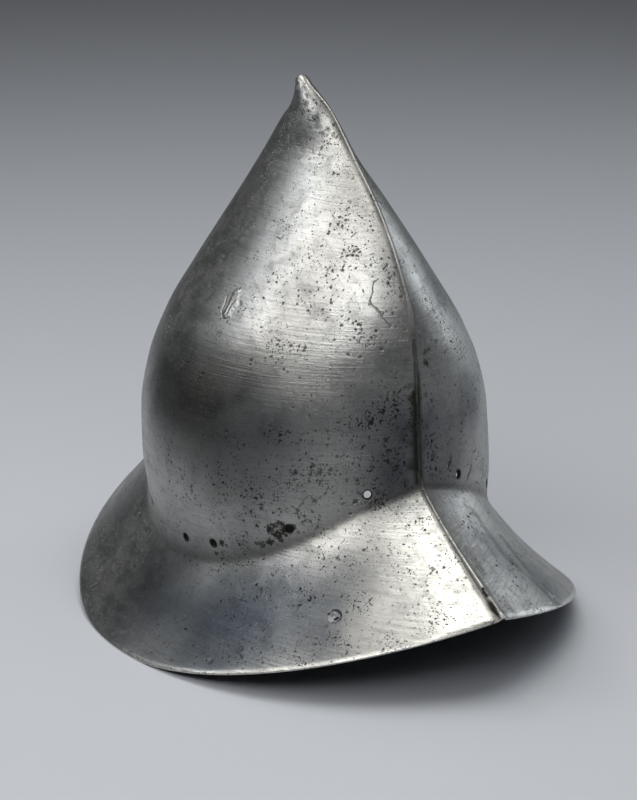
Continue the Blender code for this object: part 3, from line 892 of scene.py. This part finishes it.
def grime_and_shade_marks(points, q, wobble):
    """Grime and painted shade in the patches and bands, grime in the pits and lines, and round the lining
    holes.
    """
    patches = coverage(points, GRIME_AND_SHADE, GRIME_AND_SHADE_EDGE, GRIME_AND_SHADE_WOBBLE * wobble)
    grime_and_shade = np.maximum(patches, bands(points, SHADE_AND_GRIME_BANDS, wobble))
    strength = np.where(q > JOIN_ROW, BRIM_PIT_GRIME, SKULL_PIT_GRIME)
    for near, away, _ in spots_near(points, PITS):
        filled = strength[near] * soft((PIT_GRIME_REACH - away - wobble[near]) / PIT_GRIME_EDGE)
        grime_and_shade[near] = np.maximum(grime_and_shade[near], filled)
    for half_width, _, *pixels in LINES:
        reach = LINE_REACH - across_line(points, LINE_SHARE * half_width, pixels)
        grime_and_shade = np.maximum(grime_and_shade, LINE_GRIME * soft((reach - LINE_GRIME_WOBBLE * wobble) / LINE_GRIME_EDGE))
    for place, _ in lining_holes():
        inside = LINING_HOLE / 2 + HOLE_GRIME - away_from(points, place)
        grime_and_shade = np.maximum(grime_and_shade, soft(inside / HOLE_GRIME_FADE))
    return grime_and_shade


def layers(points, p, q):
    """What covers the steel at each point, painted shade among it, from 0 to 1, by name."""
    wobble = noise_field(points, RAGGED)
    broad = noise_field(points, BROAD)
    place = crest_place(p)
    high = soft((points[:, 2] - CREST_WEAR_FOOT) / CREST_WEAR_FADE)
    # Grime and painted shade in the crease where the skull meets the brim.
    join = soft(1 - np.abs(q - (SKULL_ROWS + JOIN_ROW) / 2) / JOIN_GRIME_AND_SHADE_ROWS)
    # Painted shade down the crest's flank on the wearer's right only, and grime with painted shade along the
    # crest low on the skull.
    near_flank_shade = (points[:, 1] < 0) * stripe(place, *FLANK_STRIPE)
    low_crest_grime_and_shade = (q < SKULL_ROWS) * (1 - high) * soft(LOW_CREST_REACH - place - GRIME_AND_SHADE_WOBBLE * wobble)
    grime_and_shade = np.maximum.reduce([
        grime_and_shade_marks(points, q, wobble),
        JOIN_GRIME_AND_SHADE * join * (1 + broad),
        CREST_GRIME_AND_SHADE * stripe(place, *CREST_STRIPE) * np.clip(1 + 2 * broad, 0, CREST_GRIME_AND_SHADE_MOST),
        near_flank_shade * np.clip(NEAR_FLANK_SHADE + broad, 0, 1),
        low_crest_grime_and_shade * np.clip(LOW_CREST_GRIME_AND_SHADE + broad, 0, 1),
    ])
    rust = coverage(points, RUST, RUST_COVER_EDGE, RUST_COVER_WOBBLE * wobble)
    wear = np.maximum(high * soft(1 - place / CREST_WEAR_WIDTH), soft(1 - (RIM_ROW - q) / RIM_WEAR_ROWS))
    outer = q <= RIM_ROW
    return {
        "grime_and_shade": np.where(outer, grime_and_shade, 0),
        "rust": np.where(outer, rust, 0),
        "crowd": np.where(outer, coverage(points, CROWDS, CROWD_EDGE, broad), 0),
        "dull_and_shade": np.where(outer, haze(points, DULL_AND_SHADE, HAZE_WOBBLE * broad), 0),
        "olive": np.where(outer, haze(points, OLIVE, HAZE_WOBBLE * broad), 0),
        "wear": np.where(q < INNER_START, wear, 0),
        "inside": (q >= INNER_START - 1).astype(float),
    }


def add_object(name, data):
    made = bpy.data.objects.new(name, data)
    bpy.context.scene.collection.objects.link(made)
    return made


def mesh_from(bm, name):
    mesh = bpy.data.meshes.new(name)
    bm.to_mesh(mesh)
    bm.free()
    return mesh


def shell_mesh():
    """The sheet of steel, and the places and layers of its points."""
    bm = flat_layout()
    refine(bm)
    flat = np.array([vert.co[:2] for vert in bm.verts])
    p, q = np.abs(flat[:, 0]), flat[:, 1]
    plain, _ = solid_points(flat)
    blow = blows(plain)
    place, normal = with_crest(p, np.minimum(q, RIM_ROW))
    place += normal * (blow + surface_marks(plain) * soft((RIM_ROW - q) / RIM_FADE_ROWS))[:, None]
    past = q > RIM_ROW
    place[past] = edge_and_inner(p[past], q[past], place[past], normal[past], blow[past])
    roof = q >= LAST_ROW
    place[roof] = place[roof].mean(axis=0) * np.array([1, 0, 1])
    place *= np.where(flat[:, :1] > 0, MIRROR, 1)
    place[:, 0] -= coverage(place, NICKS)
    for vert, point in zip(bm.verts, place):
        vert.co = point
    covers = layers(plain, p, q)
    bmesh.ops.remove_doubles(bm, verts=bm.verts, dist=MERGE)
    bmesh.ops.recalc_face_normals(bm, faces=bm.faces)
    return mesh_from(bm, "steel_hat"), place, covers


def cut_holes(hat):
    """Drills the lining holes and the pinhole, and gives the hat its final mesh."""
    turn = math.radians(PINHOLE_TURN)
    drills = [(brim_point(turn, PINHOLE_SHARE), normal_of(brim_point, turn, PINHOLE_SHARE), PINHOLE / 2)]
    drills += [(place, normal, LINING_HOLE / 2) for place, normal in lining_holes()]
    bm = bmesh.new()
    for place, normal, radius in drills:
        turned = Vector(normal).to_track_quat("Z", "Y").to_matrix().to_4x4()
        turned.translation = place
        sizes = {"radius1": radius, "radius2": radius, "depth": CUTTER_LENGTH}
        bmesh.ops.create_cone(bm, cap_ends=True, segments=HOLE_SIDES, matrix=turned, **sizes)
    cutter = add_object("drills", mesh_from(bm, "drills"))
    cut = hat.modifiers.new("drills", "BOOLEAN")
    cut.operation = "DIFFERENCE"
    cut.solver = "EXACT"
    cut.object = cutter
    drilled = bpy.data.meshes.new_from_object(hat.evaluated_get(bpy.context.evaluated_depsgraph_get()))
    hat.modifiers.clear()
    hat.data = drilled
    bpy.data.objects.remove(cutter)


def add_layers(mesh, place, covers):
    """Writes the layers to the mesh, by the nearest of the places that they were worked out at."""
    tree = KDTree(len(place))
    for i, point in enumerate(place):
        tree.insert(point, i)
    tree.balance()
    nearest = np.array([tree.find(vert.co)[1] for vert in mesh.vertices])
    for name, values in covers.items():
        mesh.attributes.new(name, "FLOAT", "POINT").data.foreach_set("value", values[nearest])


def make(kind, inputs=(), **settings):
    """A node with its settings, and its inputs set to numbers or linked to other nodes' outputs."""
    made = STEEL.node_tree.nodes.new(kind)
    for name, value in settings.items():
        setattr(made, name, value)
    for name, value in dict(inputs).items():
        if isinstance(value, bpy.types.NodeSocket):
            STEEL.node_tree.links.new(value, made.inputs[name])
        else:
            made.inputs[name].default_value = value
    return made


def layer(name):
    return make("ShaderNodeAttribute", attribute_name=name).outputs["Fac"]


def cloud(where, size, detail=3.0, rough=0.55, bend=0.0):
    """Noise around 0.5. size is its features' size in metres."""
    inputs = {"Vector": where, "Scale": 1 / size, "Detail": detail, "Roughness": rough, "Distortion": bend}
    return make("ShaderNodeTexNoise", inputs).outputs[0]


def drawn_out(where, sizes, turn):
    """Noise with features of these sizes along three axes, turned by these angles."""
    inputs = {"Vector": where, "Rotation": [math.radians(angle) for angle in turn], "Scale": sizes}
    return cloud(make("ShaderNodeMapping", inputs, vector_type="TEXTURE").outputs[0], 1.0)


def ramp(value, low, high, start=0.0, end=1.0):
    """From start to end as the value goes from low to high, with smooth ends."""
    inputs = {"Value": value, "From Min": low, "From Max": high, "To Min": start, "To Max": end}
    return make("ShaderNodeMapRange", inputs, interpolation_type="SMOOTHSTEP").outputs[0]


def calc(operation, first, second):
    return make("ShaderNodeMath", {0: first, 1: second}, operation=operation).outputs[0]


def vector_calc(operation, inputs):
    return make("ShaderNodeVectorMath", inputs, operation=operation).outputs[0]


def add_up(total, field, amounts):
    """The total plus each field times its amount."""
    for name, amount in amounts.items():
        total = calc("ADD", total, calc("MULTIPLY", field[name], amount))
    return total


def blend(factor, first, second):
    """The first colour turned into the second, by the Mix node's factor and its two colour sockets."""
    return make("ShaderNodeMix", {0: factor, 6: first, 7: second}, data_type="RGBA").outputs[2]


def pitting(where, spacing, size):
    """Ragged pits of uneven width, about one to each spacing. size is the widest, in spacings."""
    inputs = {"Vector": where, "Scale": JITTER_SCALE / spacing, "Detail": JITTER_DETAIL}
    jitter = make("ShaderNodeTexNoise", inputs).outputs["Color"]
    jitter = vector_calc("SUBTRACT", {0: jitter, 1: (0.5, 0.5, 0.5)})
    jitter = vector_calc("SCALE", {0: jitter, "Scale": JITTER * spacing})
    ragged = vector_calc("ADD", {0: where, 1: jitter})
    cells = make("ShaderNodeTexVoronoi", {"Vector": ragged, "Scale": 1 / spacing})
    width = make("ShaderNodeSeparateColor", {0: cells.outputs["Color"]}).outputs[0]
    width = calc("MULTIPLY", calc("POWER", width, WIDTH_POWER), size)
    return ramp(calc("SUBTRACT", width, cells.outputs["Distance"]), *SMALL_PIT_EDGE)


def small_pits(where, field):
    """Pits too small to model, in crowds where the layer says and in loose groups elsewhere."""
    size = add_up(ramp(field["groups"], *GROUPS), field, {"crowd": CROWDED})
    sizes = [(spacing, calc("MULTIPLY", size, share)) for spacing, share in SMALL_PITS]
    wide, middle, narrow = (pitting(where, *row) for row in sizes)
    pits = calc("MAXIMUM", calc("MAXIMUM", wide, middle), narrow)
    return calc("MULTIPLY", pits, ramp(field["inside"], *PITS_INSIDE))


def steel_colour(field):
    """The steel's colour, coat over coat. A coat shows by the ramp of a field, or by a share of a layer."""

    def shows(name, *limits):
        return ramp(field[name], *limits)

    def share(name, most):
        return calc("MULTIPLY", field[name], most)

    # The dark coat of the dull steel and painted shade, tinted olive in places.
    dark = blend(field["olive"], SHADE_AND_PATINA_COLOUR, OLIVE_COLOUR)
    brown = blend(shows("grain", 0.50, 0.70), RUST_DARK, RUST_BROWN)
    # Pale specks, painted glints on the grain, seen most in the painted shade.
    glint_specks = calc("MULTIPLY", shows("grain", 0.56, 0.72), shows("dull_and_shade", 0.0, 0.8, 0.25, 0.20))
    # The small pits' stain, darker where the painted shade lies.
    stain = calc("MULTIPLY", field["pits"], shows("dull_and_shade", 0.0, 0.6, 0.74, 0.97))
    coats = (
        (shows("clouds", 0.38, 0.66), CLOUDED_COLOUR),
        (shows("mottle", 0.48, 0.75, 0.0, 0.42), MOTTLED_COLOUR),
        (share("dull_and_shade", 0.94), dark),
        (shows("strokes", 0.54, 0.74, 0.0, 0.22), STROKE_COLOUR),
        (shows("rings", 0.50, 0.68, 0.0, 0.22), SCRATCH_COLOUR),
        (shows("fine", 0.52, 0.70, 0.0, 0.18), SCRATCH_COLOUR),
        (glint_specks, GLINT_SPECK_COLOUR),
        (shows("inside", 0.0, 1.0, 0.0, 0.65), INSIDE_COLOUR),
        (share("wear", 0.7), WORN_COLOUR),
        (share("grime_and_shade", 0.97), GRIME_AND_SHADE_COLOUR),
        (stain, STAIN_COLOUR),
        (share("rust", 0.95), brown),
    )
    colour = STEEL_COLOUR
    for factor, coat in coats:
        colour = blend(factor, colour, coat)
    return colour


def build_steel(covers):
    """Old polished steel, scratched all over, and dulled, darkened with painted shade, pitted, stained,
    rusted and worn by the layers.
    """
    where = make("ShaderNodeTexCoord").outputs["Object"]
    field = {name: layer(name) for name in covers}
    field |= {name: cloud(where, *values) for name, values in CLOUDS.items()}
    field |= {name: drawn_out(where, *values) for name, values in SCRATCHES.items()}
    field["pits"] = small_pits(where, field)
    bare = 1.0
    for name, amount in LESS_METAL.items():
        left = calc("SUBTRACT", 1.0, calc("MULTIPLY", field[name], amount))
        bare = calc("MULTIPLY", bare, left)
    rough = add_up(ramp(field["mottle"], *POLISH), field, ROUGHER)
    height = add_up(0.0, field, RELIEF)
    bump = make("ShaderNodeBump", {"Height": height, "Distance": 1.0, "Strength": BUMP_STRENGTH})
    shader = STEEL.node_tree.nodes["Principled BSDF"]
    sockets = {
        "Base Color": steel_colour(field), "Metallic": bare, "Roughness": rough, "Normal": bump.outputs[0],
    }
    for name, value in sockets.items():
        STEEL.node_tree.links.new(value, shader.inputs[name])
    shader.inputs["Specular IOR Level"].default_value = SPECULAR


def add_camera():
    place, right, up, back = camera_axes()
    data = bpy.data.cameras.new("photo_camera")
    data.sensor_width = SENSOR
    data.lens = FOCAL_PIXELS * SENSOR / max(PHOTO_SIZE)
    data.clip_start = CLIP_START
    made = add_object("photo_camera", data)
    made.matrix_world = Matrix((right, up, back)).transposed().to_4x4()
    made.location = place
    bpy.context.scene.camera = made


def add_floor():
    mesh = bpy.data.meshes.new("floor")
    mesh.from_pydata(FLOOR_CORNERS, [], [(0, 1, 2, 3)])
    floor = add_object("floor", mesh)
    material = bpy.data.materials.new("pale_floor")
    material.use_nodes = True
    shader = material.node_tree.nodes["Principled BSDF"]
    shader.inputs["Base Color"].default_value = FLOOR_COLOUR
    shader.inputs["Roughness"].default_value = FLOOR_ROUGHNESS
    floor.data.materials.append(material)


def add_light(light):
    """A soft box aimed at the hat."""
    away = direction(light.turn, light.lift)
    data = bpy.data.lights.new(light.name, "AREA")
    data.shape = "RECTANGLE"
    data.size, data.size_y = light.size
    data.energy = light.power
    data.color = light.colour
    made = add_object(light.name, data)
    made.location = Vector(LIGHT_AIM) + away * LIGHT_DISTANCE
    made.rotation_mode = "QUATERNION"
    made.rotation_quaternion = away.to_track_quat("Z", "Y")


def add_world():
    world = bpy.data.worlds.new("studio")
    world.use_nodes = True
    background = world.node_tree.nodes["Background"]
    background.inputs["Color"].default_value = WORLD_COLOUR
    background.inputs["Strength"].default_value = WORLD_STRENGTH
    bpy.context.scene.world = world


bpy.context.scene.view_settings.view_transform = "Standard"
add_camera()
add_floor()
add_world()
for light in LIGHTS:
    add_light(light)
mesh, places, covers = shell_mesh()
hat = add_object("steel_hat", mesh)
cut_holes(hat)
add_layers(hat.data, places, covers)
build_steel(covers)
hat.data.materials.append(STEEL)
hat.data.shade_smooth()
hat.data.set_sharp_from_angle(angle=math.radians(SHARP_ANGLE))
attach(hat, "root")
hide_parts("helmet_shell")
